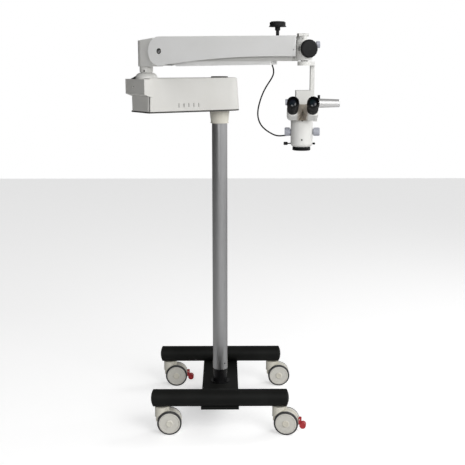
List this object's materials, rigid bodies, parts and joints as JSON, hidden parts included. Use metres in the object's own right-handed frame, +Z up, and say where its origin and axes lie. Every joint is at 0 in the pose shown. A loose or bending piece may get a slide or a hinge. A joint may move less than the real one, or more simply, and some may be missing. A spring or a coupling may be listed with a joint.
{
  "type": "surgical microscope",
  "caption": "Floor-standing surgical microscope: castor base, column, lamp housing, spring-balanced parallelogram arm, drop arm and tilting binocular microscope.",
  "frame": {"origin": "on the floor, in the middle of the ground that the whole stand covers", "axes": "+Z up, +X to the observer's right, +Y away from the observer"},
  "size_m": [0.7934, 1.0647, 1.6322],
  "materials": {
    "satin_black": "satin",
    "steel": "satin",
    "gloss_black": "gloss",
    "brushed_aluminium": "satin",
    "cream_paint": "satin",
    "bronze": "satin",
    "castor_plastic": "satin",
    "castor_wheel": "satin",
    "red_plastic": "gloss",
    "housing_plastic": "matte",
    "dark_plastic": "matte",
    "white_aluminium": "satin",
    "grey_plastic": "satin",
    "black_rubber": "matte",
    "black_aluminium": "satin",
    "glass": "polished"
  },
  "bodies": {
    "base": {"base_beams": "satin_black", "beam_caps": "satin_black", "ballast_bars": "steel", "base_plate": "satin_black", "column_socket": "gloss_black", "column_tube": "brushed_aluminium", "column_collar": "cream_paint", "column_spindle": "steel", "castor_stems": "steel"},
    "castor_front_left": {"castor_front_left_housing": "castor_plastic"},
    "wheels_front_left": {"castor_front_left_wheels": "castor_wheel"},
    "castor_front_right": {"castor_front_right_housing": "castor_plastic"},
    "wheels_front_right": {"castor_front_right_wheels": "castor_wheel"},
    "brake_front_right": {"pedal_front_right": "red_plastic"},
    "castor_rear_left": {"castor_rear_left_housing": "castor_plastic"},
    "wheels_rear_left": {"castor_rear_left_wheels": "castor_wheel"},
    "brake_rear_left": {"pedal_rear_left": "red_plastic"},
    "castor_rear_right": {"castor_rear_right_housing": "castor_plastic"},
    "wheels_rear_right": {"castor_rear_right_wheels": "castor_wheel"},
    "extension": {"housing_shell": "housing_plastic", "housing_pan": "dark_plastic", "housing_lid": "housing_plastic", "housing_cap": "dark_plastic", "inner_frame": "brushed_aluminium", "column_bush": "bronze", "power_supply": "dark_plastic", "mains_inlet": "dark_plastic", "post_base": "white_aluminium"},
    "switch": {"rocker_switch": "dark_plastic"},
    "post": {"post_column": "white_aluminium", "post_collar": "white_aluminium"},
    "arm": {"arm_cover": "housing_plastic", "arm_beam": "white_aluminium", "arm_pins": "steel", "balance_spring": "steel"},
    "lower_arm": {"lower_link": "white_aluminium", "cable_duct": "housing_plastic"},
    "head": {"arm_head": "white_aluminium"},
    "balance_knob": {"star_knob": "gloss_black"},
    "friction_knob": {"friction_knob": "gloss_black"},
    "lever": {"clamp_lever": "white_aluminium"},
    "side_knob": {"side_knob": "grey_plastic"},
    "drop": {"drop_arm": "white_aluminium", "lamp_cable": "black_rubber"},
    "microscope": {"scope_carrier": "white_aluminium", "tilt_handle": "brushed_aluminium", "scope_body": "white_aluminium", "objective_ring": "gloss_black", "objective_lens": "glass", "lamp_house": "white_aluminium", "lock_screws": "gloss_black", "binocular_base": "white_aluminium"},
    "tilt_knob": {"tilt_knob": "grey_plastic"},
    "magnifier": {"magnification_drum": "steel"},
    "tube_left": {"prism_left": "white_aluminium", "eyepiece_left": "black_aluminium"},
    "cup_left": {"eyecup_left": "black_rubber"},
    "tube_right": {"prism_right": "white_aluminium", "eyepiece_right": "black_aluminium"},
    "cup_right": {"eyecup_right": "black_rubber"}
  },
  "joints": [
    {"name": "castor_front_left_swivel", "type": "hinge", "parent": "base", "child": "castor_front_left", "pos_m": [-0.2664, -0.0536, 0.115], "axis": [0, 0, 1], "continuous": true},
    {"name": "wheels_front_left_roll", "type": "hinge", "parent": "castor_front_left", "child": "wheels_front_left", "pos_m": [-0.23342, -0.05245, 0.05], "axis": [-0.0349, 0.9994, 0], "continuous": true},
    {"name": "castor_front_right_swivel", "type": "hinge", "parent": "base", "child": "castor_front_right", "pos_m": [0.2136, -0.0536, 0.115], "axis": [0, 0, 1], "continuous": true},
    {"name": "wheels_front_right_roll", "type": "hinge", "parent": "castor_front_right", "child": "wheels_front_right", "pos_m": [0.2461, -0.05933, 0.05], "axis": [0.1736, 0.9848, 0], "continuous": true},
    {"name": "brake_front_right_press", "type": "hinge", "parent": "castor_front_right", "child": "brake_front_right", "pos_m": [0.29829, -0.06853, 0.062], "axis": [0.1736, 0.9848, 0], "range_deg": [-18, 6]},
    {"name": "castor_rear_left_swivel", "type": "hinge", "parent": "base", "child": "castor_rear_left", "pos_m": [-0.2664, 0.4974, 0.115], "axis": [0, 0, 1], "continuous": true},
    {"name": "wheels_rear_left_roll", "type": "hinge", "parent": "castor_rear_left", "child": "wheels_rear_left", "pos_m": [-0.2334, 0.4974, 0.05], "axis": [0, 1, 0], "continuous": true},
    {"name": "brake_rear_left_press", "type": "hinge", "parent": "castor_rear_left", "child": "brake_rear_left", "pos_m": [-0.1804, 0.4974, 0.062], "axis": [0, 1, 0], "range_deg": [-18, 6]},
    {"name": "castor_rear_right_swivel", "type": "hinge", "parent": "base", "child": "castor_rear_right", "pos_m": [0.2136, 0.4974, 0.115], "axis": [0, 0, 1], "continuous": true},
    {"name": "wheels_rear_right_roll", "type": "hinge", "parent": "castor_rear_right", "child": "wheels_rear_right", "pos_m": [0.2466, 0.4974, 0.05], "axis": [0, 1, 0], "continuous": true},
    {"name": "column_swivel", "type": "hinge", "parent": "base", "child": "extension", "pos_m": [-0.0264, 0.2219, 1.299], "axis": [0, 0, 1], "range_deg": [-160, 160]},
    {"name": "power_rocker", "type": "hinge", "parent": "extension", "child": "switch", "pos_m": [-0.17469, 0.18402, 1.308], "axis": [0.5446, -0.8387, 0], "range_deg": [-8, 8]},
    {"name": "post_swivel", "type": "hinge", "parent": "extension", "child": "post", "pos_m": [-0.30987, 0.03781, 1.452], "axis": [0, 0, 1], "range_deg": [-150, 150]},
    {"name": "arm_lift", "type": "hinge", "parent": "post", "child": "arm", "pos_m": [-0.2314, -0.0192, 1.534], "axis": [-0.5878, -0.809, 0], "range_deg": [-25, 30]},
    {"name": "lower_arm_lift", "type": "hinge", "parent": "post", "child": "lower_arm", "pos_m": [-0.2314, -0.0192, 1.507], "axis": [-0.5878, -0.809, 0], "range_deg": [-25, 30]},
    {"name": "head_level", "type": "hinge", "parent": "arm", "child": "head", "pos_m": [0.23298, -0.35659, 1.534], "axis": [-0.5878, -0.809, 0], "range_deg": [-30, 25]},
    {"name": "balance_adjust", "type": "hinge", "parent": "arm", "child": "balance_knob", "pos_m": [0.17878, -0.31721, 1.594], "axis": [0, 0, 1], "range_deg": [-180, 180]},
    {"name": "friction_adjust", "type": "hinge", "parent": "head", "child": "friction_knob", "pos_m": [0.27998, -0.4191, 1.537], "axis": [0.3256, -0.9455, 0], "range_deg": [-90, 90]},
    {"name": "lever_clamp", "type": "hinge", "parent": "head", "child": "lever", "pos_m": [0.26696, -0.38128, 1.566], "axis": [0, 0, 1], "range_deg": [-60, 60]},
    {"name": "side_adjust", "type": "hinge", "parent": "head", "child": "side_knob", "pos_m": [0.30696, -0.38128, 1.551], "axis": [1, 0, 0], "range_deg": [-90, 90]},
    {"name": "drop_swivel", "type": "hinge", "parent": "head", "child": "drop", "pos_m": [0.26696, -0.38128, 1.495], "axis": [0, 0, 1], "range_deg": [-170, 15], "deforming": ["lamp_cable"]},
    {"name": "scope_tilt", "type": "hinge", "parent": "drop", "child": "microscope", "pos_m": [0.26426, -0.33818, 1.355], "axis": [-0.9982, 0.0593, 0], "range_deg": [-25, 35]},
    {"name": "tilt_adjust", "type": "hinge", "parent": "microscope", "child": "tilt_knob", "pos_m": [0.21435, -0.33521, 1.355], "axis": [0.9982, -0.0593, 0], "range_deg": [-90, 90]},
    {"name": "magnification_turn", "type": "hinge", "parent": "microscope", "child": "magnifier", "pos_m": [0.26165, -0.3821, 1.256], "axis": [0.9982, -0.0593, 0], "continuous": true},
    {"name": "eye_width_left", "type": "hinge", "parent": "microscope", "child": "tube_left", "pos_m": [0.25678, -0.46406, 1.3355], "axis": [-0.0528, -0.8894, 0.454], "range_deg": [-5, 5]},
    {"name": "eye_width_right", "type": "hinge", "parent": "microscope", "child": "tube_right", "pos_m": [0.25678, -0.46406, 1.3355], "axis": [-0.0528, -0.8894, 0.454], "range_deg": [-5, 5]},
    {"name": "diopter_left", "type": "hinge", "parent": "tube_left", "child": "cup_left", "pos_m": [0.2209, -0.50655, 1.3582], "axis": [-0.0528, -0.8894, 0.454], "range_deg": [-90, 90]},
    {"name": "diopter_right", "type": "hinge", "parent": "tube_right", "child": "cup_right", "pos_m": [0.28738, -0.5105, 1.3582], "axis": [-0.0528, -0.8894, 0.454], "range_deg": [-90, 90]}
  ],
  "couplings": [
    {"joint": "lower_arm_lift", "follows": "arm_lift", "ratio": 1},
    {"joint": "head_level", "follows": "arm_lift", "ratio": -1},
    {"joint": "eye_width_right", "follows": "eye_width_left", "ratio": -1}
  ]
}
